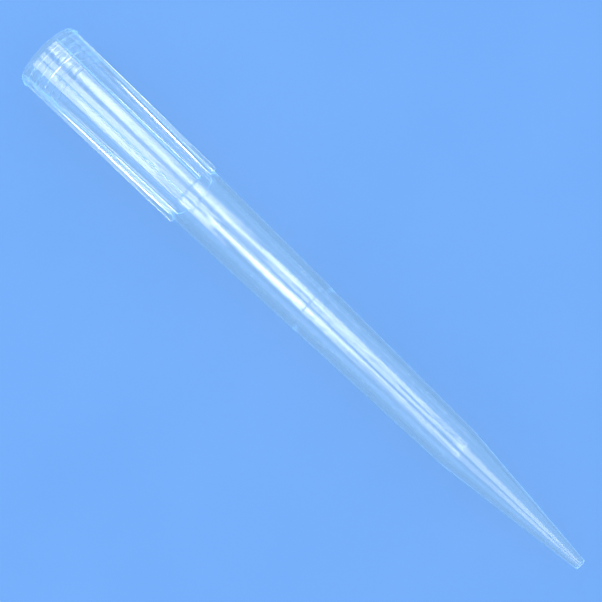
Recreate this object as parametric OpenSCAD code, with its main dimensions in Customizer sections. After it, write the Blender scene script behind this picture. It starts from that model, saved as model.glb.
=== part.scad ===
// Pipette tip for 1000 microlitre class air-displacement pipettes, moulded in
// one piece from clear plastic. A ribbed collar takes the pipette's nose cone,
// and a long tapered body narrows at a knee into a slender point.
//
// Everything is drawn on the tip's own axis first: z = 0 is the plane of the
// rim, and z grows towards the open end of the point. The finished tip is then
// laid on its side as it rests on a bench, on two neighbouring ribs and its
// knee, with the rim towards -X and the point towards +X.

/* [Overall] */
// Length from the rim to the open end of the point
total_len = 84; // [80:0.5:90]

/* [Rim] */
// Outer radius of the ring round the rim
rim_r = 4.15; // [4.12:0.01:4.3]
// Height of the ring along the axis
rim_h = 0.57; // [0.4:0.01:0.8]
// How far the ring's outer face leans in towards the mouth
rim_lean = 0.16; // [0:0.01:0.2]

/* [Collar] */
// Length of the ribbed collar, with the rim
collar_len = 23.2; // [20:0.1:24]
// Outer radius of the collar's wall under the rim
collar_top_r = 3.93; // [3.85:0.01:4]
// Outer radius of the collar's wall at its lower end
collar_end_r = 3.28; // [3.2:0.01:3.35]

/* [Ribs] */
// Number of ribs round the collar
rib_count = 8; // [6:1:12]
// Thickness of a rib
rib_t = 0.28; // [0.2:0.01:0.4]
// Radius over the ribs under the rim
rib_top_r = 4.1; // [4.05:0.01:4.11]
// Radius over the ribs at the lower end of the collar
rib_end_r = 3.97; // [3.9:0.01:4.05]

/* [Socket] */
// Radius of the mouth at the rim, at the wide end of its lead-in
mouth_r = 3.46; // [3.4:0.01:3.6]
// Depth of the lead-in
lead_in = 0.6; // [0.3:0.05:0.7]
// Radius of the socket at the rim, but for its lead-in and sealing rings
socket_top_r = 3.3; // [3.26:0.01:3.34]
// Radius of the socket at its bottom
socket_end_r = 2.82; // [2.78:0.01:2.86]
// Depth of the socket, down to the small step at its bottom
socket_len = 25.3; // [24.5:0.1:27]

/* [Sealing rings] */
// Number of sealing rings in the mouth
seal_count = 5; // [3:1:6]
// Depth of the middle of the first ring
seal_first = 0.97; // [0.95:0.01:1.2]
// Distance from one ring to the next
seal_pitch = 0.98; // [0.9:0.01:1.02]
// Radius of the flat crest of every ring
seal_r = 3.14; // [3.12:0.01:3.16]
// Width of the flat crest
seal_crest = 0.1; // [0.08:0.01:0.16]
// Length of the slope on each side of the crest
seal_slope = 0.12; // [0.08:0.01:0.2]

/* [Body] */
// Outer radius of the body where it leaves the collar
body_top_r = 3.46; // [3.42:0.01:3.5]
// Distance from the rim to the half-volume ring
mark_at = 42.2; // [40:0.1:45]
// Outer radius of the body just above the half-volume ring
mark_r = 3.12; // [3.06:0.01:3.16]
// Drop in radius that makes the half-volume ring
mark_step = 0.04; // [0.02:0.01:0.06]
// Radius of the bore below the step at the bottom of the socket
bore_top_r = 2.76; // [2.7:0.01:2.77]

/* [Point] */
// Length of the slender point, from the knee to the open end
point_len = 19; // [17:0.5:21]
// Outer radius at the knee
knee_r = 2.59; // [2.55:0.01:2.65]
// Radius of the bore at the knee
bore_knee_r = 2.06; // [2:0.01:2.1]
// Radius of the rounding on the outside of the knee
knee_round = 10; // [4:1:20]
// Outer radius of the open end
end_r = 0.65; // [0.6:0.01:0.8]
// Radius of the hole in the open end
orifice_r = 0.4; // [0.3:0.01:0.45]

/* [Hidden] */
$fn = 96;
plastic = [0.9, 0.94, 0.97, 0.45];

// The knee is the point's wide end.
knee_at = total_len - point_len;
// A rib starts this far inside the ring above it and the wall behind it.
rib_root = 0.05;
// Two ribs lie at equal angles to either side of the line that faces down.
rib_step = 360 / rib_count;
rib_phase = rib_step / 2;

// Radius of the socket's plain wall at depth z
function socket_r(z) = socket_top_r + (socket_end_r - socket_top_r) * z / socket_len;

// The four corners of one sealing ring whose crest is centred at depth z
function seal_ring(z) =
    let (crest = seal_crest / 2, foot = crest + seal_slope)
    [
        [socket_r(z - foot), z - foot],
        [seal_r, z - crest],
        [seal_r, z + crest],
        [socket_r(z + foot), z + foot],
    ];

// Slope of the outer wall, in degrees from the axis, above and below the knee
body_slope = atan((mark_r - mark_step - knee_r) / (knee_at - mark_at));
point_slope = atan((knee_r - end_r) / point_len);

// The outer wall rounds the knee on an arc that touches both slopes.
knee_arc =
    let (
        tangent = knee_round * tan((point_slope - body_slope) / 2),
        centre = [
            knee_r + tangent * sin(body_slope) - knee_round * cos(body_slope),
            knee_at - tangent * cos(body_slope) - knee_round * sin(body_slope),
        ]
    )
    [
        for (share = [0 : 0.2 : 1])
            let (slope = body_slope + (point_slope - body_slope) * share)
            centre + knee_round * [cos(slope), sin(slope)]
    ];

outer_wall = concat(
    [
        [rim_r - rim_lean, 0],
        [rim_r, rim_h],
        [collar_top_r, rim_h],
        [collar_end_r, collar_len],
        [body_top_r, collar_len],
        [mark_r, mark_at],
        [mark_r - mark_step, mark_at],
    ],
    knee_arc,
    [[end_r, total_len]]
);

inner_wall = concat(
    [
        [mouth_r, 0],
        [socket_r(lead_in), lead_in],
    ],
    [for (i = [0 : seal_count - 1]) each seal_ring(seal_first + i * seal_pitch)],
    [
        [socket_end_r, socket_len],
        [bore_top_r, socket_len],
        [bore_knee_r, knee_at],
        [orifice_r, total_len],
    ]
);

// The points of a list in the opposite order
function reversed(points) = [for (i = [len(points) - 1 : -1 : 0]) points[i]];

// The turned wall, from the rim to the open end
module wall() {
    rotate_extrude()
        polygon(concat(outer_wall, reversed(inner_wall)));
}

// One rib, a thin plate with a square lower end, on the +X side of the collar
module rib() {
    rotate([90, 0, 0])
        linear_extrude(rib_t, center = true)
            polygon([
                [collar_top_r - rib_root, rim_h - rib_root],
                [rib_top_r, rim_h - rib_root],
                [rib_end_r, collar_len],
                [collar_end_r - rib_root, collar_len],
            ]);
}

module ribs() {
    for (i = [0 : rib_count - 1])
        rotate([0, 0, rib_phase + i * rib_step])
            rib();
}

// How the tip lies: the lower corners of two ribs and the knee touch the bench.
rib_drop = rib_end_r * cos(rib_phase) + rib_t / 2 * sin(rib_phase);
rest_tilt = atan((rib_drop - knee_r) / (knee_at - collar_len));
rest_height = collar_len * sin(rest_tilt) + rib_drop * cos(rest_tilt);
// The middle of the lying tip's length is at x = 0.
rest_shift =
    (total_len * cos(rest_tilt) + (end_r - rim_r + rim_lean) * sin(rest_tilt)) / 2;

module lie_down() {
    translate([-rest_shift, 0, rest_height])
        rotate([0, 90 + rest_tilt, 0])
            children();
}

module pipette_tip() {
    color(plastic)
        lie_down() {
            wall();
            ribs();
        }
}

pipette_tip();
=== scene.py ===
"""A clear plastic pipette tip lying on a pale blue card under soft panel lights.

The tip is turned as one wall about its own axis, ribbed, and laid on two of its
ribs and its knee. Its sizes are in millimetres: r is a distance from the axis,
and z is a distance from the plane of the rim towards the open end of the point.
"""

from math import atan, cos, pi, radians, sin, tan

import bmesh
import bpy
from mathutils import Matrix, Vector


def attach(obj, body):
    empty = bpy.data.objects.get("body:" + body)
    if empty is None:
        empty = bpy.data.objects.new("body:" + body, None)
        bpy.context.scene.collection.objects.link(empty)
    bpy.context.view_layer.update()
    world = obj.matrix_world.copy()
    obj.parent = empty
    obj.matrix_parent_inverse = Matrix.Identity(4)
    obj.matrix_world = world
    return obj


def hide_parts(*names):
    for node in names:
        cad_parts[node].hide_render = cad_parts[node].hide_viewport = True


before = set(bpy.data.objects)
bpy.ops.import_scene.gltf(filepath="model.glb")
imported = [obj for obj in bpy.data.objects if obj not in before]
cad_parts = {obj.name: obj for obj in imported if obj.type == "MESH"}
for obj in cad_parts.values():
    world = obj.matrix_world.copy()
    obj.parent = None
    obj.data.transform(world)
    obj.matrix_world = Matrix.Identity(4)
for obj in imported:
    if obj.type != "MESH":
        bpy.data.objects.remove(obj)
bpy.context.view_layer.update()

MM = 0.001
TOTAL_LENGTH = 84.0

# Rim, whose ring leans in towards the mouth
RIM_R = 4.15
RIM_HEIGHT = 0.57
RIM_LEAN = 0.16

# Collar, whose wall tapers from the rim's ring to the ledge
COLLAR_LENGTH = 23.2
COLLAR_TOP_R = 3.93
COLLAR_END_R = 3.28

# Ribs, and how far each is sunk into the parts around it
RIB_COUNT = 8
RIB_STEP = 2 * pi / RIB_COUNT
RIB_PHASE = RIB_STEP / 2
RIB_THICKNESS = 0.28
RIB_TOP_R = 4.1
RIB_END_R = 3.97
RIB_ROOT = 0.05

# Socket, with a lead-in at its mouth and a small step at its bottom
MOUTH_R = 3.46
LEAD_IN = 0.6
SOCKET_TOP_R = 3.3
SOCKET_END_R = 2.82
SOCKET_LENGTH = 25.3
SOCKET_STEP_LENGTH = 0.25

# Sealing rings, each with a flat crest between two slopes
SEAL_COUNT = 5
SEAL_FIRST = 0.97
SEAL_PITCH = 0.98
SEAL_R = 3.14
SEAL_CREST = 0.1
SEAL_SLOPE = 0.12

# Body, with the ledge at its top and a fine ring, the mark
BODY_TOP_R = 3.46
LEDGE_CHAMFER = 0.14
MARK_AT = 42.2
MARK_R = 3.12
MARK_STEP = 0.04
MARK_SLOPE = 0.12
BORE_TOP_R = 2.76

# Point, from the knee to the open end
POINT_LENGTH = 19.0
KNEE_AT = TOTAL_LENGTH - POINT_LENGTH
KNEE_R = 2.59
KNEE_ROUNDING = 10.0
KNEE_ARC_STEPS = 8
BORE_KNEE_R = 2.06
BORE_KNEE_LENGTH = 0.5
END_R = 0.65
ORIFICE_R = 0.4

# Mesh: its steps round the axis, and how its corners are rounded and shaded
WALL_STEPS = 224
MERGE_DISTANCE = 1e-4
CORNER_ANGLE = radians(10)
CORNER_ROUNDING = 0.03
CORNER_SEGMENTS = 2
RIM_ROUNDING = 0.1
RIM_SEGMENTS = 3
RIB_EDGE_ROUNDING = 0.04
RIB_EDGE_SEGMENTS = 3
CREASE_ANGLE = radians(50)

# Clear polypropylene
PLASTIC_TINT = (0.97, 0.985, 1.0, 1)
PLASTIC_IOR = 1.49
PLASTIC_CLEARNESS = 0.99
SHADOW_CLEARNESS = 0.86

# Its moulded surface: lengths are in metres, and patterns are counted per metre
CLEAREST = 0.008
HAZIEST = 0.03
HAZE_PATCHES = 350
HAZE_DETAIL = 3
HAZE_STARTS = 0.35
HAZE_FULL = 0.75
WAVES = 160
WAVE_DETAIL = 1
WAVE_HEIGHT = 5e-7

# Its trimmed end: how far before the end, in metres, the roughness starts and is full
CUT_ROUGHNESS = 0.45
CUT_STARTS = 1.2e-4
CUT_FULL = 3e-5

# Light is traced inside the wall up to these counts, which lie between two whole ones,
# and past them the plastic glows with one plain colour of the surroundings: painted light
TRACED_MIRRORINGS = 3.5
TRACED_STEPS = 11.5
BLACK = (0, 0, 0, 1)
LOST_LIGHT_GLOW = (0.19, 0.45, 0.93, 1)

# Pale blue card: lengths are in metres, and patterns are counted per metre
BENCH_REACH = 3.0
CARD_BLUE = (0.25, 0.49, 0.87, 1)
CARD_DEEP_BLUE = (0.21, 0.445, 0.82, 1)
CARD_MOTTLE = 45
CARD_MOTTLE_DETAIL = 4
CARD_FIBRES = 3000
CARD_FIBRE_DETAIL = 2
FIBRE_HEIGHT = 1e-5
CARD_ROUGHNESS = 0.8
CARD_GLOSS = 0.2
CARD_GLOW = 0.46

# Sky: its level at the horizon and overhead, and the height above the horizon, as the
# z of a unit direction, by which it has gone from the one to the other
SKY_BLUE = (0.36, 0.63, 1.1, 1)
HORIZON_LEVEL = 1.8
OVERHEAD_LEVEL = 0.85
HORIZON_FADE = 0.4

# Light panels: the turn round the tip's axis and the width in degrees, the start and
# end along the axis in millimetres, and the radiance of the face
PANEL_DISTANCE = 500.0
PANELS = [
    ("left panel, low end", -45.5, 34, -189, -127, 1.7),
    ("left panel, rim end", -53, 27, -127, -102.5, 6.0),
    ("left panel by the rim", -53, 27, -102.5, -96, 5.4),
    ("left panel by the body", -29.5, 32, -96, -80, 2.6),
    ("left panel, bright core", -33, 10, -96, -78, 2.8),
    ("left panel by the mark", -25, 23, -80, -70, 3.4),
    ("left panel, high end", -21.5, 10, -70, -53, 3.4),
    ("top panel, low end", -17.5, 24, -189, -127, 1.6),
    ("top panel, dimmer end", -19.5, 20, -127, -117, 4.6),
    ("top panel, rim end", -19.5, 20, -117, -102.5, 5.2),
    ("top panel by the rim", -19.5, 20, -102.5, -95, 4.8),
    ("right panel, low end", 29.5, 32, -190, -136, 1.6),
    ("right panel by the rings", 25.5, 34, -129, -118.5, 7.0),
    ("right panel, rim end", 25.5, 40, -118.5, -102.5, 1.6),
    ("right panel by the rim", 25.5, 40, -136, -95, 3.2),
    ("right panel, bright core", 20.5, 18, -140, -81, 2.0),
    ("right panel by the body", 18.5, 10, -95, -75, 3.2),
    ("right panel, high end", 14, 9, -75, -62, 5.0),
    ("left panel by the point", -33.5, 30, 20, 55, 1.7),
    ("right panel by the point", 7.5, 32, 9, 55, 2.2),
]

# Camera, with lengths in millimetres: how it looks at the tip, and how its frame is filled
CAMERA_DISTANCE = 2000.0
CAMERA_TURN = radians(-8.5)
CAMERA_LEAN = radians(15.5)
SENSOR_WIDTH = 36.0
FRAME_WIDTH = 66.08
AXIS_IN_FRAME = radians(43.74)
TIP_RIGHT_OF_CENTRE = 1.26
TIP_BELOW_CENTRE = 0.82


# ---------------------------------------------------------------- how the tip lies

def rest_placement():
    """The matrix that lays the tip down: z becomes the long way, towards +X."""
    rib_drop = RIB_END_R * cos(RIB_PHASE) + RIB_THICKNESS / 2 * sin(RIB_PHASE)
    tilt = atan((rib_drop - KNEE_R) / (KNEE_AT - COLLAR_LENGTH))
    height = COLLAR_LENGTH * sin(tilt) + rib_drop * cos(tilt)
    shift = (TOTAL_LENGTH * cos(tilt) + (END_R - RIM_R + RIM_LEAN) * sin(tilt)) / 2
    return Matrix.Translation((-shift, 0, height)) @ Matrix.Rotation(pi / 2 + tilt, 4, "Y")


PLACEMENT = rest_placement()
AXIS = (PLACEMENT.to_3x3() @ Vector((0, 0, 1))).normalized()
TOPWARD = (PLACEMENT.to_3x3() @ Vector((-1, 0, 0))).normalized()
SIDEWARD = Vector((0, 1, 0))


def on_axis(z):
    """The place of a point of the lying tip's axis, in millimetres."""
    return PLACEMENT @ Vector((0, 0, z))


def round_the_axis(turn):
    """The direction that is `turn` radians round the axis from the top, towards +Y."""
    return cos(turn) * TOPWARD + sin(turn) * SIDEWARD


# ---------------------------------------------------------------- outline of the wall

def socket_r(z):
    """The radius of the socket's plain wall."""
    return SOCKET_TOP_R + (SOCKET_END_R - SOCKET_TOP_R) * z / SOCKET_LENGTH


def seal_ring(z):
    """The four corners of one sealing ring whose flat crest is centred at z."""
    crest = SEAL_CREST / 2
    foot = crest + SEAL_SLOPE
    return [
        (socket_r(z - foot), z - foot),
        (SEAL_R, z - crest),
        (SEAL_R, z + crest),
        (socket_r(z + foot), z + foot),
    ]


def knee_arc():
    """The arc that rounds the knee and touches both slopes of the outer wall."""
    body_slope = atan((MARK_R - MARK_STEP - KNEE_R) / (KNEE_AT - MARK_AT))
    point_slope = atan((KNEE_R - END_R) / POINT_LENGTH)
    tangent = KNEE_ROUNDING * tan((point_slope - body_slope) / 2)
    centre_r = KNEE_R + tangent * sin(body_slope) - KNEE_ROUNDING * cos(body_slope)
    centre_z = KNEE_AT - tangent * cos(body_slope) - KNEE_ROUNDING * sin(body_slope)
    arc = []
    for step in range(KNEE_ARC_STEPS + 1):
        slope = body_slope + (point_slope - body_slope) * step / KNEE_ARC_STEPS
        arc.append((centre_r + KNEE_ROUNDING * cos(slope), centre_z + KNEE_ROUNDING * sin(slope)))
    return arc


def bore_knee():
    """The two ends of the short slope that joins the bore's two tapers at the knee."""
    half = BORE_KNEE_LENGTH / 2
    body_taper = (BORE_TOP_R - BORE_KNEE_R) / (KNEE_AT - SOCKET_LENGTH)
    point_taper = (BORE_KNEE_R - ORIFICE_R) / POINT_LENGTH
    return [
        (BORE_KNEE_R + half * body_taper, KNEE_AT - half),
        (BORE_KNEE_R - half * point_taper, KNEE_AT + half),
    ]


def wall_outline():
    """The closed outline of the wall: down its outside, then back up its bore."""
    outside = [
        (RIM_R - RIM_LEAN, 0),
        (RIM_R, RIM_HEIGHT),
        (COLLAR_TOP_R, RIM_HEIGHT),
        (COLLAR_END_R, COLLAR_LENGTH),
        (BODY_TOP_R - LEDGE_CHAMFER, COLLAR_LENGTH),
        (BODY_TOP_R, COLLAR_LENGTH + LEDGE_CHAMFER),
        (MARK_R, MARK_AT - MARK_SLOPE / 2),
        (MARK_R - MARK_STEP, MARK_AT + MARK_SLOPE / 2),
        *knee_arc(),
        (END_R, TOTAL_LENGTH),
    ]
    bore = [(MOUTH_R, 0), (socket_r(LEAD_IN), LEAD_IN)]
    for ring in range(SEAL_COUNT):
        bore += seal_ring(SEAL_FIRST + ring * SEAL_PITCH)
    bore += [
        (SOCKET_END_R, SOCKET_LENGTH - SOCKET_STEP_LENGTH),
        (BORE_TOP_R, SOCKET_LENGTH),
        *bore_knee(),
        (ORIFICE_R, TOTAL_LENGTH),
    ]
    return outside + bore[::-1]


# ---------------------------------------------------------------- the tip's mesh

def loop_of(mesh, points):
    """Adds a closed loop of edges through points and returns its vertices and edges."""
    corners = [mesh.verts.new(point) for point in points]
    sides = [mesh.edges.new((a, b)) for a, b in zip(corners, corners[1:] + corners[:1])]
    return corners, sides


def corner_edges(mesh):
    """The edges at which two faces meet at a real corner of the shape."""
    return [
        edge for edge in mesh.edges
        if len(edge.link_faces) == 2 and edge.calc_face_angle() > CORNER_ANGLE
    ]


def round_edges(mesh, edges, rounding, segments):
    """Rounds edges, starting at the distance `rounding` to each side of them."""
    bmesh.ops.bevel(
        mesh, geom=edges, offset=rounding, offset_type="OFFSET", segments=segments,
        profile=0.5, affect="EDGES", clamp_overlap=True, material=-1,
    )


def turned_wall():
    """The wall as one solid of revolution, with its corners rounded as moulded."""
    mesh = bmesh.new()
    corners, sides = loop_of(mesh, [(r, 0, z) for r, z in wall_outline()])
    bmesh.ops.spin(
        mesh, geom=corners + sides, cent=(0, 0, 0), axis=(0, 0, 1), angle=2 * pi,
        steps=WALL_STEPS, use_merge=True,
    )
    bmesh.ops.remove_doubles(mesh, verts=mesh.verts, dist=MERGE_DISTANCE)
    bmesh.ops.recalc_face_normals(mesh, faces=mesh.faces)
    at_the_rim = [
        edge for edge in corner_edges(mesh)
        if all(corner.co.z < RIM_ROUNDING for corner in edge.verts)
    ]
    round_edges(mesh, at_the_rim, RIM_ROUNDING, RIM_SEGMENTS)
    round_edges(mesh, corner_edges(mesh), CORNER_ROUNDING, CORNER_SEGMENTS)
    return mesh


def rib_plates():
    """The ribs as thin plates with rounded edges.

    They start inside the rim's ring and the collar's wall and run on into the
    ledge, so that no two faces lie in one plane where they are joined.
    """
    mesh = bmesh.new()
    half = RIB_THICKNESS / 2
    top = RIM_HEIGHT - RIB_ROOT
    end = COLLAR_LENGTH + RIB_ROOT
    outline = [
        (COLLAR_TOP_R - RIB_ROOT, -half, top),
        (RIB_TOP_R, -half, top),
        (RIB_END_R, -half, end),
        (COLLAR_END_R - RIB_ROOT, -half, end),
    ]
    corners, _ = loop_of(mesh, outline)
    plate = mesh.faces.new(corners)
    pulled = bmesh.ops.extrude_face_region(mesh, geom=[plate])["geom"]
    moved = [part for part in pulled if isinstance(part, bmesh.types.BMVert)]
    bmesh.ops.translate(mesh, verts=moved, vec=(0, RIB_THICKNESS, 0))
    bmesh.ops.recalc_face_normals(mesh, faces=mesh.faces)
    round_edges(mesh, corner_edges(mesh), RIB_EDGE_ROUNDING, RIB_EDGE_SEGMENTS)
    bmesh.ops.rotate(mesh, verts=mesh.verts, cent=(0, 0, 0), matrix=Matrix.Rotation(RIB_PHASE, 3, "Z"))
    bmesh.ops.spin(
        mesh, geom=mesh.verts[:] + mesh.edges[:] + mesh.faces[:], cent=(0, 0, 0), axis=(0, 0, 1),
        angle=2 * pi - RIB_STEP, steps=RIB_COUNT - 1, use_duplicate=True,
    )
    bmesh.ops.recalc_face_normals(mesh, faces=mesh.faces)
    return mesh


def object_from(mesh, name):
    """Makes an object of a bmesh, which is freed."""
    data = bpy.data.meshes.new(name)
    mesh.to_mesh(data)
    mesh.free()
    piece = bpy.data.objects.new(name, data)
    bpy.context.scene.collection.objects.link(piece)
    return piece


def apply_modifiers(piece):
    """Makes the object's mesh what its modifiers turn it into."""
    graph = bpy.context.evaluated_depsgraph_get()
    piece.data = bpy.data.meshes.new_from_object(piece.evaluated_get(graph))
    piece.modifiers.clear()


def join_ribs(tip):
    """Joins the ribs to the wall as one solid."""
    ribs = object_from(rib_plates(), "rib_plates")
    union = tip.modifiers.new("Ribs", "BOOLEAN")
    union.operation = "UNION"
    union.solver = "EXACT"
    union.object = ribs
    apply_modifiers(tip)
    bpy.data.objects.remove(ribs)


def shade_as_moulded(tip):
    """Smooth shading in which the broad faces lead and the small roundings follow.

    It comes before the scaling, because Blender weighs faces by their size, and
    measured in metres they would all be too small to weigh.
    """
    tip.data.shade_smooth()
    tip.data.set_sharp_from_angle(angle=CREASE_ANGLE)
    normals = tip.modifiers.new("Broad faces lead", "WEIGHTED_NORMAL")
    normals.mode = "FACE_AREA"
    normals.keep_sharp = True
    apply_modifiers(tip)


def pipette_tip():
    """The whole tip: the wall and its ribs joined, laid down and scaled to metres."""
    tip = object_from(turned_wall(), "clear_tip")
    join_ribs(tip)
    shade_as_moulded(tip)
    tip.data.transform(Matrix.Scale(MM, 4) @ PLACEMENT)
    return tip


# ---------------------------------------------------------------- shader nodes

def new_material(name):
    """A new material, its nodes and its links."""
    material = bpy.data.materials.new(name)
    material.use_nodes = True
    return material, material.node_tree.nodes, material.node_tree.links


def new_group(name, outputs):
    """A new node group, its nodes, its links, and the sockets that set its outputs."""
    group = bpy.data.node_groups.new(name, "ShaderNodeTree")
    for output, kind in outputs.items():
        group.interface.new_socket(output, in_out="OUTPUT", socket_type=kind)
    return group, group.nodes, group.links, group.nodes.new("NodeGroupOutput").inputs


def group_node(nodes, group):
    """The outputs of a new node that holds the group."""
    node = nodes.new("ShaderNodeGroup")
    node.node_tree = group
    return node.outputs


def number_node(nodes, links, operation, first, second):
    """The output of a new maths node; each operand is a number or another output."""
    node = nodes.new("ShaderNodeMath")
    node.operation = operation
    for socket, operand in zip(node.inputs, (first, second)):
        if isinstance(operand, (int, float)):
            socket.default_value = operand
        else:
            links.new(operand, socket)
    return node.outputs[0]


def range_node(nodes, links, value, start, end, low, high):
    """The output of a new node that turns start...end smoothly into low...high."""
    node = nodes.new("ShaderNodeMapRange")
    node.interpolation_type = "SMOOTHSTEP"
    links.new(value, node.inputs["Value"])
    for name, number in (("From Min", start), ("From Max", end), ("To Min", low), ("To Max", high)):
        node.inputs[name].default_value = number
    return node.outputs["Result"]


def noise_node(nodes, links, place, scale, detail):
    """The output of a new noise texture, from 0 to 1."""
    node = nodes.new("ShaderNodeTexNoise")
    node.inputs["Scale"].default_value = scale
    node.inputs["Detail"].default_value = detail
    links.new(place, node.inputs["Vector"])
    return node.outputs["Fac"]


def blend_node(nodes, links, share, first, second):
    """The output of a new node that holds `share` of the second colour, the rest the first."""
    node = nodes.new("ShaderNodeMix")
    node.data_type = "RGBA"
    links.new(share, node.inputs[0])
    colours = [socket for socket in node.inputs if socket.type == "RGBA"]
    colours[0].default_value = first
    colours[1].default_value = second
    return next(socket for socket in node.outputs if socket.type == "RGBA")


def relief_node(nodes, links, height, depth):
    """The normal output of a new node that raises the surface by height times depth."""
    node = nodes.new("ShaderNodeBump")
    node.inputs["Distance"].default_value = depth
    links.new(height, node.inputs["Height"])
    return node.outputs["Normal"]


# ---------------------------------------------------------------- materials

def moulded_surface():
    """The skin that the mould leaves, with a rough open end where the point is trimmed.

    The skin has patches of faint haze and slow shallow waves.
    """
    outputs = {"Roughness": "NodeSocketFloat", "Height": "NodeSocketFloat"}
    group, nodes, links, out = new_group("moulded surface", outputs)
    place = nodes.new("ShaderNodeTexCoord").outputs["Object"]
    patches = noise_node(nodes, links, place, HAZE_PATCHES, HAZE_DETAIL)
    haze = range_node(nodes, links, patches, HAZE_STARTS, HAZE_FULL, CLEAREST, HAZIEST)
    along = nodes.new("ShaderNodeVectorMath")
    along.operation = "DOT_PRODUCT"
    links.new(place, along.inputs[0])
    along.inputs[1].default_value = AXIS
    end = AXIS.dot(on_axis(TOTAL_LENGTH)) * MM
    cut = range_node(
        nodes, links, along.outputs["Value"], end - CUT_STARTS, end - CUT_FULL, 0, CUT_ROUGHNESS
    )
    links.new(number_node(nodes, links, "ADD", haze, cut), out["Roughness"])
    links.new(noise_node(nodes, links, place, WAVES, WAVE_DETAIL), out["Height"])
    return group


def painted_glow_for_lost_light(nodes, links, rays):
    """Painted light: a glow of the surroundings' colour where light is traced no further, black
    elsewhere.

    Light that has bounced inside the wall more often than is traced would be
    lost there, so the plastic glows with that colour in its place.
    """
    mirror = nodes.new("ShaderNodeFresnel")
    mirror.inputs["IOR"].default_value = PLASTIC_IOR
    past_last = number_node(nodes, links, "GREATER_THAN", rays["Glossy Depth"], TRACED_MIRRORINGS)
    mirrored = number_node(nodes, links, "MULTIPLY", past_last, mirror.outputs["Fac"])
    spent = number_node(nodes, links, "GREATER_THAN", rays["Ray Depth"], TRACED_STEPS)
    # Where the painted glow shows: past the last traced mirroring or step
    lost = number_node(nodes, links, "MAXIMUM", mirrored, spent)
    return blend_node(nodes, links, lost, BLACK, LOST_LIGHT_GLOW)


def clear_polypropylene():
    """Clear plastic with a trace of haze, and with the faint shadow of a clear wall."""
    material, nodes, links = new_material("clear polypropylene")
    shader = nodes["Principled BSDF"].inputs
    shader["Base Color"].default_value = PLASTIC_TINT
    shader["Transmission Weight"].default_value = PLASTIC_CLEARNESS
    shader["IOR"].default_value = PLASTIC_IOR
    rays = nodes.new("ShaderNodeLightPath").outputs
    let_through = number_node(nodes, links, "MULTIPLY", rays["Is Shadow Ray"], SHADOW_CLEARNESS)
    links.new(number_node(nodes, links, "SUBTRACT", 1.0, let_through), shader["Alpha"])
    surface = group_node(nodes, moulded_surface())
    links.new(surface["Roughness"], shader["Roughness"])
    links.new(relief_node(nodes, links, surface["Height"], WAVE_HEIGHT), shader["Normal"])
    # Painted light: the plastic glows where light inside the wall is traced no further
    links.new(painted_glow_for_lost_light(nodes, links, rays), shader["Emission Color"])
    shader["Emission Strength"].default_value = 1.0
    return material


def card_grain():
    """The faint mottle of dyed card: its colour, and the height of its fibres."""
    outputs = {"Color": "NodeSocketColor", "Height": "NodeSocketFloat"}
    group, nodes, links, out = new_group("card grain", outputs)
    place = nodes.new("ShaderNodeTexCoord").outputs["Object"]
    mottle = noise_node(nodes, links, place, CARD_MOTTLE, CARD_MOTTLE_DETAIL)
    links.new(blend_node(nodes, links, mottle, CARD_DEEP_BLUE, CARD_BLUE), out["Color"])
    links.new(noise_node(nodes, links, place, CARD_FIBRES, CARD_FIBRE_DETAIL), out["Height"])
    return group


def pale_blue_card():
    """The floor: part of its colour is a glow of its own, so a shadow on it stays faint.

    Where it is seen in the plastic or through it, it is all glow.
    """
    material, nodes, links = new_material("pale blue card")
    shader = nodes["Principled BSDF"]
    grain = group_node(nodes, card_grain())
    links.new(grain["Color"], shader.inputs["Base Color"])
    shader.inputs["Roughness"].default_value = CARD_ROUGHNESS
    shader.inputs["Specular IOR Level"].default_value = CARD_GLOSS
    links.new(relief_node(nodes, links, grain["Height"], FIBRE_HEIGHT), shader.inputs["Normal"])
    glow = nodes.new("ShaderNodeEmission")
    links.new(grain["Color"], glow.inputs["Color"])
    rays = nodes.new("ShaderNodeLightPath").outputs
    direct = number_node(nodes, links, "MULTIPLY", rays["Is Camera Ray"], CARD_GLOW)
    through = number_node(nodes, links, "MAXIMUM", rays["Is Glossy Ray"], rays["Is Transmission Ray"])
    mix = nodes.new("ShaderNodeMixShader")
    links.new(number_node(nodes, links, "MAXIMUM", direct, through), mix.inputs["Fac"])
    links.new(shader.outputs["BSDF"], mix.inputs[1])
    links.new(glow.outputs["Emission"], mix.inputs[2])
    links.new(mix.outputs["Shader"], nodes["Material Output"].inputs["Surface"])
    return material


# ---------------------------------------------------------------- bench, lights, camera

def bench():
    """A wide flat surface under the tip."""
    mesh = bmesh.new()
    bmesh.ops.create_grid(mesh, x_segments=1, y_segments=1, size=BENCH_REACH)
    floor = object_from(mesh, "bench")
    floor.data.materials.append(pale_blue_card())


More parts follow.
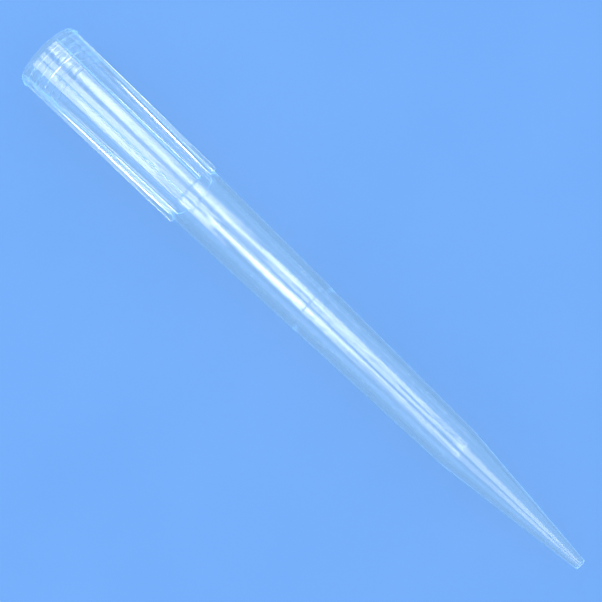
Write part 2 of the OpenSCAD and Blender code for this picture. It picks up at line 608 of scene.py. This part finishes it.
def light_panel(name, turn, width, start, end, radiance):
    """A flat soft light that runs along the tip's axis from z = start to z = end.

    It is `turn` degrees round the axis from the top, towards +Y, and seen from
    the axis it is `width` degrees wide. Its face has the given radiance.
    """
    light = bpy.data.lights.new(name, "AREA")
    light.shape = "RECTANGLE"
    light.size = 2 * PANEL_DISTANCE * tan(radians(width) / 2) * MM
    light.size_y = (end - start) * MM
    light.energy = radiance * pi * light.size * light.size_y
    away = round_the_axis(radians(turn))
    place = on_axis((start + end) / 2) + PANEL_DISTANCE * away
    across = AXIS.cross(away)
    turned = Matrix((across, AXIS, away)).transposed().to_4x4()
    lamp = bpy.data.objects.new(name, light)
    lamp.matrix_world = Matrix.Translation(place * MM) @ turned
    bpy.context.scene.collection.objects.link(lamp)


def sky():
    """Pale blue surroundings that are dim overhead and bright low down all round."""
    world = bpy.data.worlds.new("studio")
    bpy.context.scene.world = world
    world.use_nodes = True
    nodes, links = world.node_tree.nodes, world.node_tree.links
    direction = nodes.new("ShaderNodeTexCoord").outputs["Generated"]
    parts = nodes.new("ShaderNodeSeparateXYZ")
    links.new(direction, parts.inputs[0])
    level = range_node(
        nodes, links, parts.outputs["Z"], 0, HORIZON_FADE, HORIZON_LEVEL, OVERHEAD_LEVEL
    )
    background = nodes["Background"].inputs
    background["Color"].default_value = SKY_BLUE
    links.new(level, background["Strength"])


def camera():
    """Looks down on the lying tip from its point's side, with the point at the lower right."""
    facing = round_the_axis(CAMERA_TURN)
    away = (cos(CAMERA_LEAN) * facing + sin(CAMERA_LEAN) * AXIS).normalized()
    # The tip's axis as the camera sees it, and the direction a quarter turn from it
    along = (AXIS - AXIS.dot(away) * away).normalized()
    beside = away.cross(along)
    right = cos(AXIS_IN_FRAME) * along + sin(AXIS_IN_FRAME) * beside
    up = -sin(AXIS_IN_FRAME) * along + cos(AXIS_IN_FRAME) * beside
    aim = on_axis(TOTAL_LENGTH / 2) - TIP_RIGHT_OF_CENTRE * right + TIP_BELOW_CENTRE * up

    lens = bpy.data.cameras.new("camera")
    lens.sensor_width = SENSOR_WIDTH
    lens.lens = SENSOR_WIDTH * CAMERA_DISTANCE / FRAME_WIDTH
    viewer = bpy.data.objects.new("camera", lens)
    turned = Matrix((right, up, away)).transposed().to_4x4()
    viewer.matrix_world = Matrix.Translation((aim + CAMERA_DISTANCE * away) * MM) @ turned
    bpy.context.scene.collection.objects.link(viewer)
    bpy.context.scene.camera = viewer


# ---------------------------------------------------------------- the scene


camera()
for panel in PANELS:
    light_panel(*panel)
sky()
bench()

tip = pipette_tip()
tip.data.materials.append(clear_polypropylene())
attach(tip, "root")
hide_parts("pipette_tip")

bpy.context.scene.view_settings.view_transform = "Standard"
